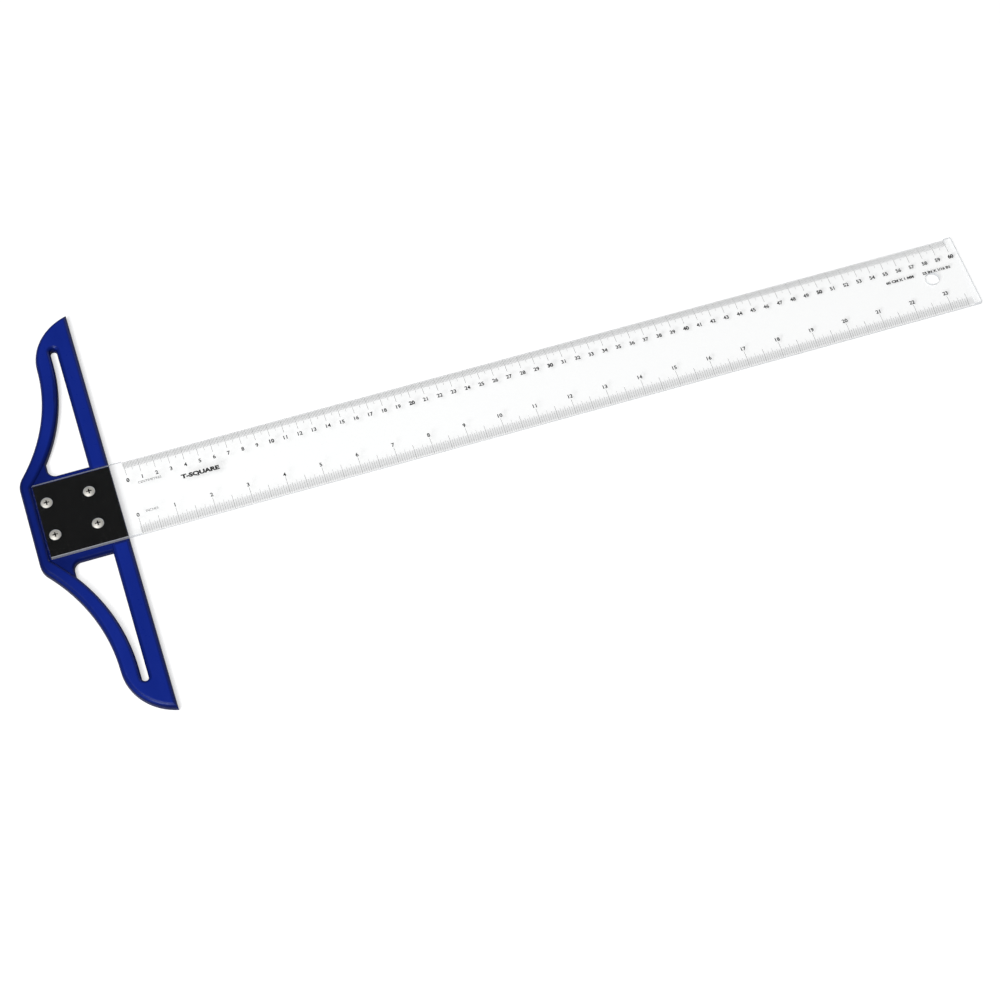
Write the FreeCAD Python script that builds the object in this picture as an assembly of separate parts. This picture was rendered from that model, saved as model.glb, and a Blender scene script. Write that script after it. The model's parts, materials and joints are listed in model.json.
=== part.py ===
"""T-square with a 60 cm / 23.5 in clear blade screwed on top of a moulded plastic head.

Frame, in millimetres: X runs along the blade, from the head's working edge at X = 0
towards the free end. Y is across the blade, with the blade's centreline at Y = 0.
Z = 0 is the blade's underside, which is the drawing board's surface in use.
"""
import FreeCAD
import Part
import math
import os

from FreeCAD import Vector

# Blade
BLADE_FREE_END_X = 616.0
BLADE_HELD_END_X = -53.5
BLADE_WIDTH = 58.0
BLADE_THICKNESS = 3.0
BLADE_CORNER_RADIUS = 1.0
BLADE_EDGE_BREAK = 0.25
HELD_END_INSET = 0.2
HELD_END_STOP_X = 0.5
BEVEL_START_X = 8.5
BEVEL_END_X = 610.5
BEVEL_WIDTH = 6.5
BEVEL_EDGE_THICKNESS = 1.2
HANGING_HOLE_X = 590.0
HANGING_HOLE_RADIUS = 5.0

# Black pad clamped between blade and seat
PAD_THICKNESS = 0.5
PAD_INSET = 0.5

# Head, as seen from above: a working edge, two rounded ends, two waists and a straight back
HEAD_BACK_X = -61.7
HEAD_END_RADIUS = 38.7
HEAD_END_CENTRE_X = 9.4
HEAD_END_CENTRE_Y = 120.7
HEAD_WAIST_RADIUS = 130.0
HEAD_SHOULDER_RADIUS = 15.0
HEAD_BOTTOM_CHAMFER = 0.6

# Rail of the head: a rounded bar all round, that stands higher than the seat for the blade
RAIL_TOP_Z = 1.0
RAIL_ROUNDING = 3.2
RAIL_FRONT_X = -13.0
RAIL_ARC_CENTRE_X = -158.0
RAIL_ARC_CENTRE_Y = 123.0
RAIL_ARC_RADIUS = 140.6
RAIL_TIP_RADIUS = 2.2
RAIL_TIP_CENTRE_Y = 131.1
RAIL_BACK_X = -53.7
RAIL_BACK_CORNER_RADIUS = 1.2

# Seat: the low plate that carries the blade; its free edges are the near ends of the finger windows
SEAT_THICKNESS = 5.0
SEAT_HALF_WIDTH = 34.2
SEAT_SIDE_X = -40.4
SEAT_CORNER_RADIUS = 5.5
SEAT_EDGE_ROUNDING = 2.0
SEAT_ARM_Y = 48.0
SEAT_ARM_WIDTH = 4.6
SEAT_BACK_HALF_WIDTH = 30.0
NOTCH_CLEARANCE = 0.2

# M4 raised countersunk screws and thin hex nuts
SCREW_COLUMNS_X = (-46.6, -17.5)
SCREW_ROWS_Y = (12.8, -12.8)
THREAD_RADIUS = 2.0
CLEARANCE_RADIUS = 2.15
SCREW_LENGTH = 8.0
SCREW_TIP_CHAMFER = 0.5
SCREW_HEAD_RADIUS = 3.75
SCREW_RIM_HEIGHT = 0.25
SCREW_CROWN_HEIGHT = 0.9
RECESS_WIDTH = 4.2
RECESS_FLOOR_WIDTH = 1.6
RECESS_WING = 0.95
RECESS_DEPTH = 2.0
SEAT_CLEARANCE = 0.05
NUT_ACROSS_FLATS = 7.0
NUT_HEIGHT = 2.2
NUT_BORE_RADIUS = 2.05
NUT_CHAMFER = 0.35
POCKET_ACROSS_FLATS = 7.2
POCKET_DEPTH = 2.6

HALF_BLADE = BLADE_WIDTH / 2
SEAT_TOP_Z = -PAD_THICKNESS
HEAD_BOTTOM_Z = SEAT_TOP_Z - SEAT_THICKNESS
UP = Vector(0, 0, 1)
SLACK = 1.0  # tells edges apart that lie further from each other than this


def arc(centre, radius, start, end):
    """Arc in the XY plane about centre, through the angles start to end in degrees."""
    def at(angle):
        turn = math.radians(angle)
        return Vector(centre[0] + radius * math.cos(turn), centre[1] + radius * math.sin(turn), 0)
    return Part.Arc(at(start), at((start + end) / 2), at(end)).toShape()


def line(start, end):
    return Part.LineSegment(Vector(*start, 0), Vector(*end, 0)).toShape()


def mirrored(edges):
    return [edge.mirror(Vector(0, 0, 0), Vector(0, 1, 0)) for edge in edges]


def prism(edges, low_z, high_z):
    """Solid between two heights whose outline is the closed loop of edges."""
    wire = Part.Wire(Part.__sortEdges__(edges))
    face = Part.Face(wire)
    face.translate(Vector(0, 0, low_z))
    return face.extrude(UP * (high_z - low_z))


def direction(start, end):
    return math.degrees(math.atan2(end[1] - start[1], end[0] - start[0]))


def head_outline():
    """Outer edges of the head: each end arc flows into a waist, a shoulder and the back."""
    end = (HEAD_END_CENTRE_X, HEAD_END_CENTRE_Y)
    tip_y = end[1] + math.sqrt(HEAD_END_RADIUS ** 2 - end[0] ** 2)
    waist = (end[0] - HEAD_END_RADIUS - HEAD_WAIST_RADIUS, end[1])
    shoulder_x = HEAD_BACK_X + HEAD_SHOULDER_RADIUS
    reach = HEAD_WAIST_RADIUS + HEAD_SHOULDER_RADIUS
    shoulder = (shoulder_x, waist[1] - math.sqrt(reach ** 2 - (shoulder_x - waist[0]) ** 2))
    turn = direction(waist, shoulder)
    upper = [
        arc(end, HEAD_END_RADIUS, direction(end, (0, tip_y)), 180),
        arc(waist, HEAD_WAIST_RADIUS, 0, turn),
        arc(shoulder, HEAD_SHOULDER_RADIUS, turn + 180, 180),
    ]
    return upper + mirrored(upper) + [
        line((0, -tip_y), (0, tip_y)),
        line((HEAD_BACK_X, -shoulder[1]), (HEAD_BACK_X, shoulder[1])),
    ]


def rail_opening():
    """Inner edges of the rail: the arms' inner arcs run from the window tips to the blade's back corners."""
    side = (RAIL_ARC_CENTRE_X, RAIL_ARC_CENTRE_Y)
    tip = (RAIL_FRONT_X - RAIL_TIP_RADIUS, RAIL_TIP_CENTRE_Y)
    side_top_x = tip[0] - RAIL_TIP_RADIUS
    corner_x = RAIL_BACK_X + RAIL_BACK_CORNER_RADIUS
    reach = RAIL_ARC_RADIUS + RAIL_BACK_CORNER_RADIUS
    corner = (corner_x, side[1] - math.sqrt(reach ** 2 - (corner_x - side[0]) ** 2))
    turn = direction(side, corner)
    upper = [
        arc(tip, RAIL_TIP_RADIUS, 0, 180),
        line((side_top_x, tip[1]), (side_top_x, side[1])),
        arc(side, RAIL_ARC_RADIUS, 0, turn),
        arc(corner, RAIL_BACK_CORNER_RADIUS, turn + 180, 180),
    ]
    return upper + mirrored(upper) + [
        line((RAIL_FRONT_X, -tip[1]), (RAIL_FRONT_X, tip[1])),
        line((RAIL_BACK_X, -corner[1]), (RAIL_BACK_X, corner[1])),
    ]


def seat_outline():
    """Edges of the seat. Apart from its free edges it ends inside the rail, which it joins."""
    front_x = RAIL_FRONT_X / 2
    back_x = (RAIL_BACK_X + HEAD_BACK_X) / 2
    corner = (SEAT_SIDE_X + SEAT_CORNER_RADIUS, SEAT_HALF_WIDTH + SEAT_CORNER_RADIUS)
    arm = (SEAT_SIDE_X, SEAT_ARM_Y)
    arm_back = (SEAT_SIDE_X - SEAT_ARM_WIDTH, SEAT_ARM_Y)
    back = (back_x, SEAT_BACK_HALF_WIDTH)
    upper = [
        line((front_x, SEAT_HALF_WIDTH), (corner[0], SEAT_HALF_WIDTH)),
        arc(corner, SEAT_CORNER_RADIUS, 180, 270),
        line((SEAT_SIDE_X, corner[1]), arm),
        line(arm, arm_back),
        line(arm_back, back),
    ]
    return upper + mirrored(upper) + [
        line((front_x, -SEAT_HALF_WIDTH), (front_x, SEAT_HALF_WIDTH)),
        line((back_x, -back[1]), (back_x, back[1])),
    ]


def edges_at(solid, height):
    """Edges of a prism that lie wholly at one height."""
    return [e for e in solid.Edges if abs(e.BoundBox.ZMin - height) + abs(e.BoundBox.ZMax - height) < 1e-6]


def hexagon(across_flats, low_z, high_z):
    corner = across_flats / math.sqrt(3)
    points = [Vector(corner * math.cos(math.radians(a)), corner * math.sin(math.radians(a)), low_z)
              for a in range(0, 361, 60)]
    return Part.Face(Part.makePolygon(points)).extrude(UP * (high_z - low_z))


def screw_places():
    return [(x, y) for x in SCREW_COLUMNS_X for y in SCREW_ROWS_Y]


def hole(radius, low_z, high_z):
    return Part.makeCylinder(radius, high_z - low_z, Vector(0, 0, low_z))


def make_rail():
    rail = prism(head_outline(), HEAD_BOTTOM_Z, RAIL_TOP_Z)
    rail = rail.cut(prism(rail_opening(), HEAD_BOTTOM_Z, RAIL_TOP_Z))
    return rail.makeFillet(RAIL_ROUNDING, edges_at(rail, RAIL_TOP_Z))


def make_seat():
    seat = prism(seat_outline(), HEAD_BOTTOM_Z, SEAT_TOP_Z)
    free = [e for e in edges_at(seat, SEAT_TOP_Z)
            if abs(e.CenterOfMass.y) > SEAT_HALF_WIDTH - SLACK and e.BoundBox.XMin > SEAT_SIDE_X - SLACK]
    return seat.makeFillet(SEAT_EDGE_ROUNDING, free)


def blade_notch():
    """Cutter that lets the blade through the rail's front bar, with the bar's ends rounded towards it."""
    margin = 2.0
    drop = RAIL_TOP_Z - SEAT_TOP_Z
    turn = math.acos(1 - drop / RAIL_ROUNDING)
    foot_y = HALF_BLADE - HELD_END_INSET + NOTCH_CLEARANCE
    centre_y = foot_y + RAIL_ROUNDING * math.sin(turn)
    centre_z = RAIL_TOP_Z - RAIL_ROUNDING
    foot = Vector(RAIL_FRONT_X - margin, foot_y, SEAT_TOP_Z)
    crest = Vector(foot.x, centre_y, RAIL_TOP_Z)
    half_turn = turn / 2
    middle = Vector(foot.x, centre_y - RAIL_ROUNDING * math.sin(half_turn),
                    centre_z + RAIL_ROUNDING * math.cos(half_turn))
    flank = Part.Arc(foot, middle, crest).toShape()
    lid = crest + UP * margin
    edges = [flank, Part.LineSegment(crest, lid).toShape()]
    edges += mirrored(edges)
    edges.append(Part.LineSegment(foot, Vector(foot.x, -foot.y, foot.z)).toShape())
    edges.append(Part.LineSegment(lid, Vector(lid.x, -lid.y, lid.z)).toShape())
    profile = Part.Face(Part.Wire(Part.__sortEdges__(edges)))
    return profile.extrude(Vector(2 * margin - RAIL_FRONT_X, 0, 0))


def make_head():
    """One moulding: rail and seat, notched for the blade, with captive nut pockets underneath."""
    head = make_rail().fuse(make_seat()).removeSplitter().cut(blade_notch())
    head = head.makeChamfer(HEAD_BOTTOM_CHAMFER, edges_at(head, HEAD_BOTTOM_Z))
    for x, y in screw_places():
        pocket = hexagon(POCKET_ACROSS_FLATS, HEAD_BOTTOM_Z, HEAD_BOTTOM_Z + POCKET_DEPTH)
        tool = pocket.fuse(hole(CLEARANCE_RADIUS, HEAD_BOTTOM_Z, SEAT_TOP_Z))
        tool.translate(Vector(x, y, 0))
        head = head.cut(tool)
    return head


def bevel_cutter(side):
    """Wedge that thins one long edge of the blade from the top; side is +1 or -1."""
    top = BLADE_THICKNESS
    inner_y = HALF_BLADE - BEVEL_WIDTH
    slope = (top - BEVEL_EDGE_THICKNESS) / BEVEL_WIDTH
    margin = 1.0
    outer_y = HALF_BLADE + margin
    profile = [
        (inner_y, top),
        (outer_y, BEVEL_EDGE_THICKNESS - slope * margin),
        (outer_y, top + margin),
        (inner_y, top + margin),
        (inner_y, top),
    ]
    points = [Vector(BEVEL_START_X, side * y, z) for y, z in profile]
    return Part.Face(Part.makePolygon(points)).extrude(Vector(BEVEL_END_X - BEVEL_START_X, 0, 0))


def strip(low_x, high_x, half_width, joint_x):
    """Length of blade with rounded corners and broken top edges, apart from its end at joint_x."""
    corner = Vector(low_x, -half_width, 0)
    length = Part.makeBox(high_x - low_x, 2 * half_width, BLADE_THICKNESS, corner)
    upright = [e for e in length.Edges
               if e.BoundBox.ZLength > BLADE_THICKNESS / 2 and abs(e.BoundBox.XMax - joint_x) > SLACK]
    length = length.makeFillet(BLADE_CORNER_RADIUS, upright)
    rim = [e for e in edges_at(length, BLADE_THICKNESS)
           if max(abs(e.BoundBox.XMin - joint_x), abs(e.BoundBox.XMax - joint_x)) > SLACK]
    return length.makeChamfer(BLADE_EDGE_BREAK, rim)


def make_blade():
    """Clear strip whose held end is a little narrower, so that it drops between the ends of the rail."""
    held = strip(BLADE_HELD_END_X, HELD_END_STOP_X, HALF_BLADE - HELD_END_INSET, HELD_END_STOP_X)
    free = strip(HELD_END_STOP_X, BLADE_FREE_END_X, HALF_BLADE, HELD_END_STOP_X)
    blade = held.fuse(free).removeSplitter()
    for side in (1, -1):
        blade = blade.cut(bevel_cutter(side))
    hanging = hole(HANGING_HOLE_RADIUS, 0, BLADE_THICKNESS)
    hanging.translate(Vector(HANGING_HOLE_X, 0, 0))
    blade = blade.cut(hanging)
    sink_radius = SCREW_HEAD_RADIUS + SCREW_RIM_HEIGHT + SEAT_CLEARANCE
    sink_depth = sink_radius - CLEARANCE_RADIUS
    for x, y in screw_places():
        sink_floor = Vector(0, 0, BLADE_THICKNESS - sink_depth)
        sink = Part.makeCone(CLEARANCE_RADIUS, sink_radius, sink_depth, sink_floor)
        tool = sink.fuse(hole(CLEARANCE_RADIUS, 0, BLADE_THICKNESS))
        tool.translate(Vector(x, y, 0))
        blade = blade.cut(tool)
    return blade


def make_pad():
    length = -BLADE_HELD_END_X - 2 * PAD_INSET
    width = BLADE_WIDTH - 2 * PAD_INSET
    corner = Vector(BLADE_HELD_END_X + PAD_INSET, -width / 2, SEAT_TOP_Z)
    pad = Part.makeBox(length, width, PAD_THICKNESS, corner)
    for x, y in screw_places():
        tool = hole(CLEARANCE_RADIUS, SEAT_TOP_Z, 0)
        tool.translate(Vector(x, y, 0))
        pad = pad.cut(tool)
    return pad


def cross_recess(crown_z):
    """Tapered cross socket below crown_z: four wings inside a narrowing cone."""
    cone = Part.makeCone(RECESS_FLOOR_WIDTH / 2, RECESS_WIDTH / 2, RECESS_DEPTH,
                         Vector(0, 0, crown_z - RECESS_DEPTH))
    half = RECESS_WIDTH / 2
    floor = crown_z - RECESS_DEPTH
    wing_x = Part.makeBox(RECESS_WIDTH, RECESS_WING, RECESS_DEPTH, Vector(-half, -RECESS_WING / 2, floor))
    wing_y = Part.makeBox(RECESS_WING, RECESS_WIDTH, RECESS_DEPTH, Vector(-RECESS_WING / 2, -half, floor))
    return cone.common(wing_x.fuse(wing_y))


def make_screw():
    """Raised countersunk screw whose rim lies level with the blade's top face."""
    rim_z = BLADE_THICKNESS
    crown_z = rim_z + SCREW_CROWN_HEIGHT
    cone_top_z = rim_z - SCREW_RIM_HEIGHT
    cone_foot_z = cone_top_z - (SCREW_HEAD_RADIUS - THREAD_RADIUS)
    tip_z = rim_z - SCREW_LENGTH
    crown_radius = (SCREW_HEAD_RADIUS ** 2 + SCREW_CROWN_HEIGHT ** 2) / (2 * SCREW_CROWN_HEIGHT)
    half = SCREW_HEAD_RADIUS / 2
    half_z = crown_z - crown_radius + math.sqrt(crown_radius ** 2 - half ** 2)
    profile = [
        (0, tip_z),
        (THREAD_RADIUS - SCREW_TIP_CHAMFER, tip_z),
        (THREAD_RADIUS, tip_z + SCREW_TIP_CHAMFER),
        (THREAD_RADIUS, cone_foot_z),
        (SCREW_HEAD_RADIUS, cone_top_z),
        (SCREW_HEAD_RADIUS, rim_z),
    ]
    points = [Vector(x, 0, z) for x, z in profile]
    edges = [Part.LineSegment(a, b).toShape() for a, b in zip(points, points[1:])]
    top = Vector(0, 0, crown_z)
    edges.append(Part.Arc(points[-1], Vector(half, 0, half_z), top).toShape())
    edges.append(Part.LineSegment(top, points[0]).toShape())
    screw = Part.Face(Part.Wire(edges)).revolve(Vector(0, 0, 0), UP, 360)
    return screw.cut(cross_recess(crown_z))


def make_nut():
    """Thin hex nut, chamfered at both ends, seated against its pocket's roof."""
    top_z = HEAD_BOTTOM_Z + POCKET_DEPTH
    low_z = top_z - NUT_HEIGHT
    flat = NUT_ACROSS_FLATS / 2
    corner = NUT_ACROSS_FLATS / math.sqrt(3)
    rise = (corner - flat + NUT_CHAMFER) * math.tan(math.radians(30))
    profile = [
        (0, low_z),
        (flat - NUT_CHAMFER, low_z),
        (corner, low_z + rise),
        (corner, top_z - rise),
        (flat - NUT_CHAMFER, top_z),
        (0, top_z),
        (0, low_z),
    ]
    turned = Part.Face(Part.makePolygon([Vector(x, 0, z) for x, z in profile]))
    turned = turned.revolve(Vector(0, 0, 0), UP, 360)
    nut = hexagon(NUT_ACROSS_FLATS, low_z, top_z).common(turned)
    return nut.cut(hole(NUT_BORE_RADIUS, low_z, top_z))


def export(node, shape):
    solid = shape.Solids[0] if len(shape.Solids) == 1 else shape
    solid.exportStep("parts/" + node + ".step")
    print(node, "solids", len(shape.Solids), "valid", shape.isValid(), "volume", round(shape.Volume, 1))


def main():
    os.makedirs("parts", exist_ok=True)
    export("head", make_head())
    export("blade", make_blade())
    export("blade_pad", make_pad())
    for number, (x, y) in enumerate(screw_places(), start=1):
        for name, piece in (("screw", make_screw()), ("nut", make_nut())):
            piece.translate(Vector(x, y, 0))
            export(f"{name}_{number}", piece)


main()
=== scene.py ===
"""Looks of the T-square: clear blade with printed scales, blue head, black pad, screws and nuts.

Metres, in the frame of the CAD model: X along the blade from the working edge, Y across it,
Z up with the blade's underside at Z = 0.
"""

import bmesh
import bpy
import json
import math
from mathutils import Matrix, Vector


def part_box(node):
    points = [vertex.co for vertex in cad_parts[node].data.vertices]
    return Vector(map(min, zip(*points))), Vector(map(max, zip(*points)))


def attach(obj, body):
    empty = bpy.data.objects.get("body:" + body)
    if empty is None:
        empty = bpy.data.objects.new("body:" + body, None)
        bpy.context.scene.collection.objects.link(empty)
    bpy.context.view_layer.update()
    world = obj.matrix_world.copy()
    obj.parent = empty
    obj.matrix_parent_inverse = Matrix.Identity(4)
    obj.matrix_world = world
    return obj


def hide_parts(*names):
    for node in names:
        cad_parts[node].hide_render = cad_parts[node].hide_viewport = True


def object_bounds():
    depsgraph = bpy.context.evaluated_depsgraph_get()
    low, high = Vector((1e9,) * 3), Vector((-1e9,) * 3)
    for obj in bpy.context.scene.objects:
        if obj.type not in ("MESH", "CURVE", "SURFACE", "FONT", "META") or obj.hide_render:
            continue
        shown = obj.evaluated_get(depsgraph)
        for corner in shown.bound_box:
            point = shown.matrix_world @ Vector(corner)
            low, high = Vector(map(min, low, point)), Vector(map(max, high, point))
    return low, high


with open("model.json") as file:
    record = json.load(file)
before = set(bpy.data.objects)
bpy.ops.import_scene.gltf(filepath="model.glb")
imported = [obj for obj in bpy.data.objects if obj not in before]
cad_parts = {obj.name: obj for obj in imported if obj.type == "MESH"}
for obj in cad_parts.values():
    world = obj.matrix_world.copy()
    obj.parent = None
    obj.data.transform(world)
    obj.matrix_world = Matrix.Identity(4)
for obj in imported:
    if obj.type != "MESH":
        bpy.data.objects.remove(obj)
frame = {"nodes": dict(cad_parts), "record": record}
cad_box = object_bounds()

MM = 0.001
INCH = 25.4 * MM

# Camera, as seen from the target: azimuth and elevation in degrees
CAMERA_AZIMUTH = -18.60
CAMERA_ELEVATION = 60.56
CAMERA_ROLL = 0.70
CAMERA_DISTANCE = 1711.2 * MM
CAMERA_TARGET = Vector((243.9, -76.3, 0.0)) * MM
CAMERA_LENS = 91.59
CAMERA_REACH = 50.0

# Lights: name, direction that each comes from, diameter and power; metres and watts
KEY_LIGHT = (-0.52, -0.45, 0.62)
LIGHT_DISTANCE = 4.5
LIGHTS = (
    ("overhead", (-0.38, -0.12, 0.90), 2.2, 95),
    ("front_left", KEY_LIGHT, 1.5, 115),
    ("back_right", (0.62, 0.66, 0.34), 3.0, 30),
)

# Surroundings: floor's half size and its pale grey, and what lights the scene from all around
FLOOR_HALF_SIZE = 8.0
FLOOR_GREY = (0.58, 0.58, 0.58, 1)
AMBIENT_COLOUR = (0.9, 0.95, 1.0, 1)
AMBIENT_STRENGTH = 0.07

# Head: its blue at the two ends of its variation, and how far painted shade brings that blue down where
BLUE_LOW = (0.0054, 0.0190, 0.224)
BLUE_HIGH = (0.0078, 0.0240, 0.262)
PAINTED_ROUNDING_SHADE = 0.62
PAINTED_SEAT_SHADE = 0.6
PAINTED_BACK_SHADE = 0.62

# Blade, with its underside kept just clear of the pad's top
BEVEL_START = 8.5 * MM
BEVEL_END = 610.5 * MM
BEVEL_WIDTH = 6.5 * MM
BEVEL_EDGE_HEIGHT = 1.2 * MM
UNDERSIDE_GAP = 0.02 * MM
POLISHED, MILLED, SAWN, UNDERSIDE = range(4)

# How much a face's normal points up or down: at least this much on flat faces, and on the bevels
FLAT_LEAN = 0.995
BEVEL_LEAN = 0.9

# Printed scales
SCALE_ZERO = 9.5 * MM
PRINT_THICKNESS = 0.03 * MM
TICK_EDGE_GAP = 0.35 * MM
DIGIT_HEIGHT = 2.8 * MM
DIGIT_BOLDNESS = 0.03
TEN_BOLDNESS = 0.05
METRIC_LENGTH_MM = 600
METRIC_LABEL_Y = 13.2 * MM
INCH_SIXTEENTHS = 376
INCH_LABEL_Y = -14.9 * MM

# Graduations: what a count is divisible by, their length from the drawing edge, and their width
METRIC_TICKS = (
    (10, 11.7 * MM, 0.20 * MM),
    (5, 8.7 * MM, 0.15 * MM),
    (1, 6.5 * MM, 0.12 * MM),
)
INCH_TICKS = (
    (16, 11.8 * MM, 0.20 * MM),
    (8, 10.0 * MM, 0.20 * MM),
    (4, 8.5 * MM, 0.12 * MM),
    (2, 7.2 * MM, 0.12 * MM),
    (1, 6.0 * MM, 0.12 * MM),
)

# Lettering: text, centre along and across the blade, height, boldness and spread
METRIC_UNIT = ("CENTIMETRES", 23.5 * MM, 9.2 * MM, 1.8 * MM, 0.0, 1.0)
INCH_UNIT = ("INCHES", 19.5 * MM, -13.5 * MM, 1.8 * MM, 0.0, 1.0)
NOTES = (
    ("T-SQUARE", 57.5 * MM, 4.5 * MM, 3.0 * MM, 0.06, 1.3),
    ("60 CM X 1 MM", 567.5 * MM, 5.3 * MM, 2.0 * MM, 0.05, 1.15),
    ("23 IN X 1/16 IN", 595.2 * MM, 5.3 * MM, 2.0 * MM, 0.05, 1.1),
)

# Screws: painted shade fills the cross recess, which reaches this far from the axis and starts this far
# below the crown
RECESS_REACH = 2.3 * MM
RECESS_RIM_DROP = 0.42 * MM

blade_low, blade_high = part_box("blade")
HALF_WIDTH = blade_high.y
BLADE_TOP = blade_high.z


# ---------------------------------------------------------------- materials

def principled(name):
    """New material; returns it with its node tree and its Principled shader."""
    material = bpy.data.materials.new(name)
    material.use_nodes = True
    tree = material.node_tree
    return material, tree, tree.nodes["Principled BSDF"]


def noise(tree, scale, detail=3.0, roughness=0.5, stretch=(1, 1, 1)):
    """Noise in the frame's own metres; scale is in cells per metre."""
    place = tree.nodes.new("ShaderNodeTexCoord")
    mapping = tree.nodes.new("ShaderNodeMapping")
    mapping.inputs["Scale"].default_value = stretch
    texture = tree.nodes.new("ShaderNodeTexNoise")
    texture.inputs["Scale"].default_value = scale
    texture.inputs["Detail"].default_value = detail
    texture.inputs["Roughness"].default_value = roughness
    tree.links.new(place.outputs["Object"], mapping.inputs["Vector"])
    tree.links.new(mapping.outputs["Vector"], texture.inputs["Vector"])
    return texture.outputs["Fac"]


def math_node(tree, operation, first, second=0.0):
    """Output of a math node; second is another output or a plain number."""
    node = tree.nodes.new("ShaderNodeMath")
    node.operation = operation
    tree.links.new(first, node.inputs[0])
    if isinstance(second, float):
        node.inputs[1].default_value = second
    else:
        tree.links.new(second, node.inputs[1])
    return node.outputs["Value"]


def banded(tree, value, stops):
    """Colour or grey level that runs through stops, which are pairs of a value and a level."""
    node = tree.nodes.new("ShaderNodeValToRGB")
    elements = node.color_ramp.elements
    while len(elements) < len(stops):
        elements.new(1.0)
    for element, (at, level) in zip(elements, stops):
        element.position = at
        element.color = (*level, 1) if isinstance(level, tuple) else (level, level, level, 1)
    tree.links.new(value, node.inputs["Fac"])
    return node.outputs["Color"]


def ramp(tree, value, low, high, low_at=0.3, high_at=0.7):
    """Colour or grey level that goes from low to high as value rises from low_at to high_at."""
    return banded(tree, value, ((low_at, low), (high_at, high)))


def bump(tree, shader, heights):
    """Chains bumps onto the shader's normal; heights are pairs of a value and a depth in metres."""
    normal = None
    for value, depth in heights:
        node = tree.nodes.new("ShaderNodeBump")
        node.inputs["Distance"].default_value = depth
        tree.links.new(value, node.inputs["Height"])
        if normal is not None:
            tree.links.new(normal, node.inputs["Normal"])
        normal = node.outputs["Normal"]
    tree.links.new(normal, shader.inputs["Normal"])


def part_of(tree, vector, axis):
    """One coordinate of a vector."""
    split = tree.nodes.new("ShaderNodeSeparateXYZ")
    tree.links.new(vector, split.inputs["Vector"])
    return split.outputs[axis]


def place_along(tree, axis):
    """Position on one axis of the frame, in millimetres."""
    place = tree.nodes.new("ShaderNodeTexCoord").outputs["Object"]
    return math_node(tree, "DIVIDE", part_of(tree, place, axis), MM)


def shaded(tree, colour, shade):
    """The colour times a shade."""
    mix = tree.nodes.new("ShaderNodeMix")
    mix.data_type = "RGBA"
    mix.blend_type = "MULTIPLY"
    mix.inputs["Factor"].default_value = 1.0
    colours = [socket for socket in mix.inputs if socket.type == "RGBA"]
    tree.links.new(colour, colours[0])
    tree.links.new(shade, colours[1])
    return next(socket for socket in mix.outputs if socket.type == "RGBA")


def darker_roundings(tree, colour, depth):
    """The colour with painted shade, brought down to depth of itself on roundings that don't face the key
    light.
    """
    normal = tree.nodes.new("ShaderNodeNewGeometry").outputs["Normal"]
    level = math_node(tree, "ABSOLUTE", part_of(tree, normal, "Z"))
    facing = tree.nodes.new("ShaderNodeVectorMath")
    facing.operation = "DOT_PRODUCT"
    tree.links.new(normal, facing.inputs[0])
    facing.inputs[1].default_value = Vector(KEY_LIGHT).normalized()
    kept = math_node(tree, "MAXIMUM", level, facing.outputs["Value"])
    return shaded(tree, colour, ramp(tree, kept, depth, 1.0, low_at=0.93, high_at=1.0))


def darker_seat(tree, colour, depth):
    """The colour with painted shade, brought down to depth of itself on the plate that lies lower than the
    rail.
    """
    raised = math_node(tree, "ADD", place_along(tree, "Z"), 0.5)
    return shaded(tree, colour, ramp(tree, raised, depth, 1.0, low_at=0.05, high_at=0.95))


def darker_back(tree, colour, depth):
    """The colour with painted shade, brought down to depth of itself towards the head's back."""
    back_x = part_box("head")[0].x / MM
    forward = math_node(tree, "SUBTRACT", place_along(tree, "X"), back_x)
    share = math_node(tree, "DIVIDE", forward, -back_x)
    return shaded(tree, colour, ramp(tree, share, depth, 1.0, low_at=0.04, high_at=0.45))


def head_plastic():
    """Deep blue satin moulding: fine grain, soft flow variation in colour and gloss, and painted shade on
    its roundings, on its seat and towards its back.
    """
    material, tree, shader = principled("blue_moulding")
    flow = noise(tree, 45, detail=4, stretch=(1, 0.35, 1))
    grain = noise(tree, 2600, detail=2)
    mottle = noise(tree, 420, detail=3)
    colour = ramp(tree, flow, BLUE_LOW, BLUE_HIGH)
    # painted shade: on roundings away from the key light, on the lower seat and towards the back
    colour = darker_roundings(tree, colour, PAINTED_ROUNDING_SHADE)
    colour = darker_seat(tree, colour, PAINTED_SEAT_SHADE)
    colour = darker_back(tree, colour, PAINTED_BACK_SHADE)
    tree.links.new(colour, shader.inputs["Base Color"])
    tree.links.new(ramp(tree, mottle, 0.27, 0.37), shader.inputs["Roughness"])
    shader.inputs["IOR"].default_value = 1.50
    shader.inputs["Specular IOR Level"].default_value = 0.20
    shader.inputs["Specular Tint"].default_value = (0.55, 0.65, 1.0, 1)
    bump(tree, shader, [(mottle, 0.02 * MM), (grain, 0.006 * MM)])
    return material


def pad_black():
    """Nearly black matt sheet, a little cloudy."""
    material, tree, shader = principled("black_pad")
    cloudy = noise(tree, 160, detail=4)
    grain = noise(tree, 3200, detail=2)
    tree.links.new(ramp(tree, cloudy, 0.0010, 0.0022), shader.inputs["Base Color"])
    tree.links.new(ramp(tree, grain, 0.45, 0.60), shader.inputs["Roughness"])
    shader.inputs["Specular IOR Level"].default_value = 0.12
    bump(tree, shader, [(grain, 0.01 * MM)])
    return material


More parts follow.
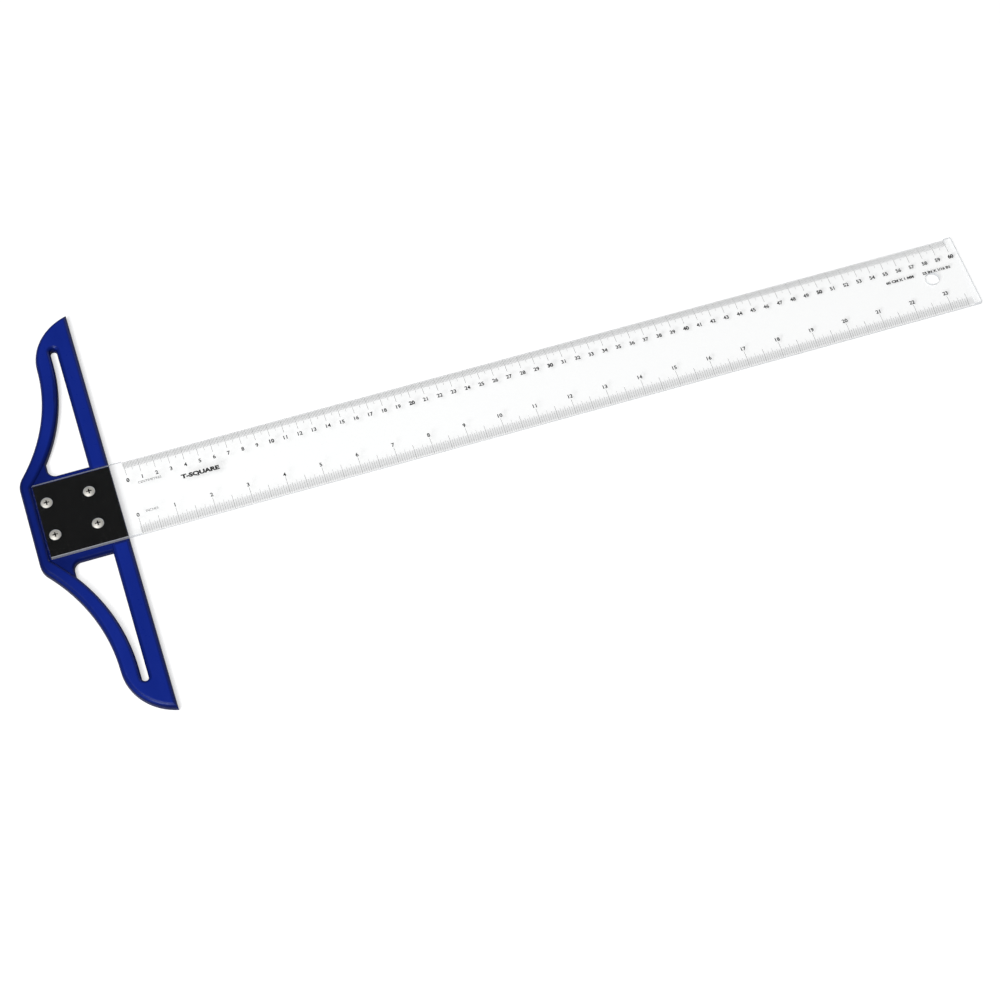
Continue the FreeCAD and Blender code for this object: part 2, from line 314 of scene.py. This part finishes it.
def acrylic(name, roughness, wear):
    """Clear acrylic, rougher where it is worn. Light on its way to other pieces passes straight through."""
    material, tree, shader = principled(name)
    shader.inputs["Base Color"].default_value = (1.0, 1.0, 0.995, 1)
    shader.inputs["IOR"].default_value = 1.49
    shader.inputs["Transmission Weight"].default_value = 1.0
    scratches = noise(tree, 900, detail=5, roughness=0.7, stretch=(0.08, 1, 1))
    worn = ramp(tree, scratches, roughness, wear, low_at=0.5, high_at=0.8)
    tree.links.new(worn, shader.inputs["Roughness"])
    output = tree.nodes["Material Output"]
    straight = tree.nodes.new("ShaderNodeBsdfTransparent")
    straight.inputs["Color"].default_value = (0.97, 0.98, 0.98, 1)
    path = tree.nodes.new("ShaderNodeLightPath").outputs
    passing = math_node(tree, "MAXIMUM", path["Is Shadow Ray"], path["Is Diffuse Ray"])
    mix = tree.nodes.new("ShaderNodeMixShader")
    tree.links.new(passing, mix.inputs["Fac"])
    tree.links.new(shader.outputs["BSDF"], mix.inputs[1])
    tree.links.new(straight.outputs["BSDF"], mix.inputs[2])
    tree.links.new(mix.outputs["Shader"], output.inputs["Surface"])
    return material


def acrylic_milled():
    """Bevels: tinted grey across most of their width, clearer along both of their borders."""
    material = acrylic("acrylic_milled", roughness=0.12, wear=0.22)
    tree = material.node_tree
    reach = math_node(tree, "ABSOLUTE", place_along(tree, "Y"))
    inwards = math_node(tree, "SUBTRACT", reach, (HALF_WIDTH - BEVEL_WIDTH) / MM)
    share = math_node(tree, "DIVIDE", inwards, BEVEL_WIDTH / MM)
    tint = banded(tree, share, ((0.0, 0.90), (0.30, 0.67), (0.80, 0.61), (0.88, 0.86), (1.0, 0.80)))
    shader = tree.nodes["Principled BSDF"]
    tree.links.new(tint, shader.inputs["Base Color"])
    shader.inputs["Specular IOR Level"].default_value = 0.05
    return material


def acrylic_underside():
    """Underside of the blade, where light passes to and from what it lies on without being bent."""
    material, tree, shader = principled("acrylic_underside")
    smears = noise(tree, 60, detail=4)
    tree.links.new(ramp(tree, smears, 0.0010, 0.0022), shader.inputs["Base Color"])
    shader.inputs["Roughness"].default_value = 0.5
    shader.inputs["Specular IOR Level"].default_value = 0.0
    shader.inputs["Alpha"].default_value = 0.04
    return material


def acrylic_sawn():
    """Sawn, milled and drilled walls of the blade: a pale frosted veil that catches the light."""
    material, tree, shader = principled("acrylic_sawn")
    marks = noise(tree, 700, detail=3, stretch=(1, 1, 0.1))
    tree.links.new(ramp(tree, marks, (0.70, 0.73, 0.78), (0.86, 0.89, 0.94)), shader.inputs["Base Color"])
    shader.inputs["Roughness"].default_value = 0.45
    shader.inputs["Alpha"].default_value = 0.52
    bump(tree, shader, [(marks, 0.01 * MM)])
    return material


def scale_ink():
    """Dark print, a little thin in places."""
    material, tree, shader = principled("scale_print")
    patchy = noise(tree, 1500, detail=3)
    tree.links.new(ramp(tree, patchy, 0.012, 0.045), shader.inputs["Base Color"])
    tree.links.new(ramp(tree, patchy, 0.45, 0.65), shader.inputs["Roughness"])
    return material


def dark_recess(tree, colour):
    """The colour with painted shade, nearly black, within reach of the screws' axes below the rim of their
    cross recesses.
    """
    first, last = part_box("screw_1"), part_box("screw_4")
    middle = [(first[0][i] + first[1][i] + last[0][i] + last[1][i]) / 4 / MM for i in (0, 1)]
    spread = [abs(last[0][i] - first[0][i]) / 2 / MM for i in (0, 1)]
    squares = []
    for axis, centre, half in zip("XY", middle, spread):
        off = math_node(tree, "SUBTRACT", place_along(tree, axis), centre)
        off = math_node(tree, "SUBTRACT", math_node(tree, "ABSOLUTE", off), half)
        squares.append(math_node(tree, "POWER", math_node(tree, "ABSOLUTE", off), 2.0))
    reach = math_node(tree, "SQRT", math_node(tree, "ADD", *squares))
    outside = math_node(tree, "GREATER_THAN", reach, RECESS_REACH / MM)
    rim_height = (first[1].z - RECESS_RIM_DROP) / MM
    on_crown = math_node(tree, "GREATER_THAN", place_along(tree, "Z"), rim_height)
    lit = math_node(tree, "MAXIMUM", outside, on_crown)
    return shaded(tree, colour, ramp(tree, lit, 0.05, 1.0, low_at=0.0, high_at=1.0))


def metal(name, dark, light, rough_low, rough_high, turning):
    """Dull plated steel with fine turning marks and painted shade in the screws' cross recesses; turning is
    their scale in cells per metre.
    """
    material, tree, shader = principled(name)
    fine = noise(tree, turning, detail=3, stretch=(1, 1, 6))
    cloudy = noise(tree, 500, detail=3)
    # painted shade in the screws' cross recesses
    colour = dark_recess(tree, ramp(tree, cloudy, dark, light))
    tree.links.new(colour, shader.inputs["Base Color"])
    tree.links.new(ramp(tree, fine, rough_low, rough_high), shader.inputs["Roughness"])
    shader.inputs["Metallic"].default_value = 0.7
    bump(tree, shader, [(fine, 0.008 * MM)])
    return material


# ---------------------------------------------------------------- blade

def add_piece(name, mesh, materials):
    """New piece of the visual model that stays with the body."""
    mesh.materials.clear()
    for material in materials:
        mesh.materials.append(material)
    piece = bpy.data.objects.new(name, mesh)
    bpy.context.scene.collection.objects.link(piece)
    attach(piece, "root")
    return piece


def make_blade():
    """The CAD blade's shape with polished faces, milled bevels and sawn edges told apart."""
    polished = acrylic("acrylic_polished", roughness=0.01, wear=0.06)
    milled = acrylic_milled()
    sawn = acrylic_sawn()
    underside = acrylic_underside()
    mesh = frame["nodes"]["blade"].data.copy()
    mesh.name = "clear_blade"
    for vertex in mesh.vertices:
        vertex.co.z = max(vertex.co.z, UNDERSIDE_GAP)
    blade = add_piece("clear_blade", mesh, (polished, milled, sawn, underside))
    for face in mesh.polygons:
        lean = abs(face.normal.z)
        if face.normal.z < -FLAT_LEAN:
            face.material_index = UNDERSIDE
        elif lean > FLAT_LEAN or face.center.x < blade_low.x + MM / 2:
            face.material_index = POLISHED
        elif lean > BEVEL_LEAN:
            face.material_index = MILLED
        else:
            face.material_index = SAWN
    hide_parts("blade")


# ---------------------------------------------------------------- printed scales

def surface_height(x, reach):
    """Height of the blade's top at a distance of reach from the centreline, bevel included."""
    bevel_from = HALF_WIDTH - BEVEL_WIDTH
    if reach <= bevel_from or not BEVEL_START < x < BEVEL_END:
        return BLADE_TOP
    fall = (BLADE_TOP - BEVEL_EDGE_HEIGHT) / BEVEL_WIDTH
    return BLADE_TOP - fall * (reach - bevel_from)


def add_tick(shape, x, side, length, width):
    """One graduation from the drawing edge inwards: a thin raised strip that follows the bevel."""
    stops = [HALF_WIDTH - TICK_EDGE_GAP, HALF_WIDTH - BEVEL_WIDTH, HALF_WIDTH - length]
    if length <= BEVEL_WIDTH:
        stops = [stops[0], stops[2]]
    rings = []
    for reach in stops:
        z = surface_height(x, reach)
        corners = ((x - width / 2, z), (x + width / 2, z),
                   (x + width / 2, z + PRINT_THICKNESS), (x - width / 2, z + PRINT_THICKNESS))
        rings.append([shape.verts.new((cx, side * reach, cz)) for cx, cz in corners])
    for near, far in zip(rings, rings[1:]):
        for i in range(4):
            j = (i + 1) % 4
            shape.faces.new((near[i], near[j], far[j], far[i]))
    shape.faces.new(rings[0][::-1])
    shape.faces.new(rings[-1])


def add_ticks(shape, last, step, side, classes):
    """Graduations 0 to last, a step apart, each of the first class that its count is divisible by."""
    for count in range(last + 1):
        length, width = next(row[1:] for row in classes if count % row[0] == 0)
        add_tick(shape, SCALE_ZERO + count * step, side, length, width)


def letter_mesh(text, boldness=0.0):
    """Thin solid lettering from the built-in font, in the font's own units."""
    curve = bpy.data.curves.new("lettering", "FONT")
    curve.body = text
    curve.align_x = "CENTER"
    curve.align_y = "CENTER"
    curve.resolution_u = 3
    curve.offset = boldness
    curve.extrude = 0.5
    holder = bpy.data.objects.new("lettering", curve)
    bpy.context.scene.collection.objects.link(holder)
    bpy.context.view_layer.update()
    evaluated = holder.evaluated_get(bpy.context.evaluated_depsgraph_get())
    mesh = bpy.data.meshes.new_from_object(evaluated)
    bpy.data.objects.remove(holder)
    bpy.data.curves.remove(curve)
    return mesh


def font_height():
    """Height of a digit of the built-in font at size 1."""
    mesh = letter_mesh("0")
    ys = [v.co.y for v in mesh.vertices]
    bpy.data.meshes.remove(mesh)
    return max(ys) - min(ys)


FONT_HEIGHT = font_height()


def add_text(shape, text, centre_x, centre_y, height, boldness, spread=1.0):
    """Lettering of a real height on the flat top, read from the inch side."""
    mesh = letter_mesh(text, boldness)
    size = height / FONT_HEIGHT
    place = Matrix.Translation((centre_x, centre_y, BLADE_TOP + PRINT_THICKNESS / 2))
    mesh.transform(place @ Matrix.Diagonal((size * spread, size, PRINT_THICKNESS, 1)))
    shape.from_mesh(mesh)
    bpy.data.meshes.remove(mesh)


def print_piece(name, shape, ink):
    """Turns a finished shape into a printed piece."""
    bmesh.ops.recalc_face_normals(shape, faces=shape.faces)
    mesh = bpy.data.meshes.new(name)
    shape.to_mesh(mesh)
    shape.free()
    return add_piece(name, mesh, (ink,))


def make_scales():
    """Metric scale, inch scale and notes, each one printed piece."""
    ink = scale_ink()
    metric = bmesh.new()
    add_ticks(metric, METRIC_LENGTH_MM, MM, 1, METRIC_TICKS)
    for centimetre in range(METRIC_LENGTH_MM // 10 + 1):
        x = SCALE_ZERO + centimetre * 10 * MM
        boldness = TEN_BOLDNESS if centimetre % 10 == 0 else DIGIT_BOLDNESS
        add_text(metric, str(centimetre), x, METRIC_LABEL_Y, DIGIT_HEIGHT, boldness)
    add_text(metric, *METRIC_UNIT)
    print_piece("metric_scale", metric, ink)

    imperial = bmesh.new()
    add_ticks(imperial, INCH_SIXTEENTHS, INCH / 16, -1, INCH_TICKS)
    for inch in range(INCH_SIXTEENTHS // 16 + 1):
        x = SCALE_ZERO + inch * INCH
        add_text(imperial, str(inch), x, INCH_LABEL_Y, DIGIT_HEIGHT, DIGIT_BOLDNESS)
    add_text(imperial, *INCH_UNIT)
    print_piece("inch_scale", imperial, ink)

    notes = bmesh.new()
    for note in NOTES:
        add_text(notes, *note)
    print_piece("scale_notes", notes, ink)


# ---------------------------------------------------------------- carried-over CAD pieces

def dress_cad_pieces():
    """Gives each CAD node that is shown its own procedural material."""
    nickel = metal("nickel", dark=(0.60, 0.585, 0.54), light=(0.72, 0.70, 0.65),
                   rough_low=0.55, rough_high=0.66, turning=2500)
    zinc = metal("zinc", dark=(0.48, 0.48, 0.47), light=(0.60, 0.60, 0.59),
                 rough_low=0.34, rough_high=0.46, turning=1800)
    finishes = {"head_plastic": head_plastic(), "black_pad": pad_black(),
                "screw_steel": nickel, "nut_steel": zinc}
    for subpart in frame["record"]["subparts"]:
        finish = finishes.get(subpart["material_slot"])
        if finish is None:
            continue
        for material_slot in frame["nodes"][subpart["node"]].material_slots:
            material_slot.material = finish


# ---------------------------------------------------------------- floor, light, camera

def seen_directly(tree):
    """1 for what the camera sees straight or through clear plastic, 0 for what lights or mirrors."""
    path = tree.nodes.new("ShaderNodeLightPath").outputs
    through = math_node(tree, "GREATER_THAN", path["Transmission Depth"], 0.5)
    either = math_node(tree, "MAXIMUM", path["Is Camera Ray"], through)
    clear = math_node(tree, "ADD", path["Transmission Depth"], path["Glossy Depth"])
    scattered = math_node(tree, "SUBTRACT", path["Ray Depth"], clear)
    unscattered = math_node(tree, "LESS_THAN", scattered, 0.5)
    return math_node(tree, "MULTIPLY", either, unscattered)


def make_floor():
    """White floor that the head and the blade's free end both rest on, so it rises slightly along X."""
    material, tree, shader = principled("floor")
    shader.inputs["Base Color"].default_value = FLOOR_GREY
    shader.inputs["Roughness"].default_value = 0.9
    shader.inputs["Specular IOR Level"].default_value = 0.0
    glow = tree.nodes.new("ShaderNodeEmission")
    glow.inputs["Color"].default_value = FLOOR_GREY
    tree.links.new(seen_directly(tree), glow.inputs["Strength"])
    both = tree.nodes.new("ShaderNodeAddShader")
    tree.links.new(shader.outputs["BSDF"], both.inputs[0])
    tree.links.new(glow.outputs["Emission"], both.inputs[1])
    tree.links.new(both.outputs["Shader"], tree.nodes["Material Output"].inputs["Surface"])

    head_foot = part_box("head")[0].z
    rise = -head_foot / blade_high.x
    corners = []
    for side_x, side_y in ((-1, -1), (1, -1), (1, 1), (-1, 1)):
        x = side_x * FLOOR_HALF_SIZE
        corners.append((x, side_y * FLOOR_HALF_SIZE, head_foot + rise * x))
    mesh = bpy.data.meshes.new("floor")
    mesh.from_pydata(corners, [], [(0, 1, 2, 3)])
    mesh.materials.append(material)
    floor = bpy.data.objects.new("floor", mesh)
    bpy.context.scene.collection.objects.link(floor)


def area_light(name, towards, diameter, power):
    """Soft round light that stands in a direction from the middle of the object and faces it."""
    middle = (cad_box[0] + cad_box[1]) / 2
    light = bpy.data.lights.new(name, "AREA")
    light.shape = "DISK"
    light.size = diameter
    light.energy = power
    holder = bpy.data.objects.new(name, light)
    direction = Vector(towards).normalized()
    holder.location = middle + direction * LIGHT_DISTANCE
    holder.rotation_mode = "QUATERNION"
    holder.rotation_quaternion = direction.to_track_quat("Z", "Y")
    holder.visible_camera = False
    holder.visible_transmission = False
    bpy.context.scene.collection.objects.link(holder)


def make_lights():
    """The soft lights, and a dim world that shows as white where it is seen directly."""
    for name, towards, diameter, power in LIGHTS:
        area_light(name, towards, diameter, power)

    world = bpy.data.worlds.new("studio")
    world.use_nodes = True
    tree = world.node_tree
    dim = tree.nodes["Background"]
    dim.inputs["Color"].default_value = AMBIENT_COLOUR
    dim.inputs["Strength"].default_value = AMBIENT_STRENGTH
    white = tree.nodes.new("ShaderNodeBackground")
    white.inputs["Color"].default_value = (1, 1, 1, 1)
    mix = tree.nodes.new("ShaderNodeMixShader")
    tree.links.new(seen_directly(tree), mix.inputs["Fac"])
    tree.links.new(dim.outputs["Background"], mix.inputs[1])
    tree.links.new(white.outputs["Background"], mix.inputs[2])
    tree.links.new(mix.outputs["Shader"], tree.nodes["World Output"].inputs["Surface"])
    bpy.context.scene.world = world


def make_camera():
    """Camera that looks at its target from an azimuth and an elevation, turned by its roll."""
    azimuth = math.radians(CAMERA_AZIMUTH)
    elevation = math.radians(CAMERA_ELEVATION)
    roll = math.radians(CAMERA_ROLL)
    level_reach = math.cos(elevation)
    back = Vector((math.sin(azimuth) * level_reach, -math.cos(azimuth) * level_reach, math.sin(elevation)))
    level = Vector((math.cos(azimuth), math.sin(azimuth), 0))
    right = level * math.cos(roll) + back.cross(level) * math.sin(roll)
    up = back.cross(right)
    data = bpy.data.cameras.new("camera")
    data.lens = CAMERA_LENS
    data.clip_end = CAMERA_REACH
    camera = bpy.data.objects.new("camera", data)
    turn = Matrix((right, up, back)).transposed().to_4x4()
    camera.matrix_world = Matrix.Translation(CAMERA_TARGET + back * CAMERA_DISTANCE) @ turn
    bpy.context.scene.collection.objects.link(camera)
    bpy.context.scene.camera = camera


make_camera()
make_floor()
make_lights()
dress_cad_pieces()
make_blade()
make_scales()
bpy.context.scene.view_settings.view_transform = "Standard"
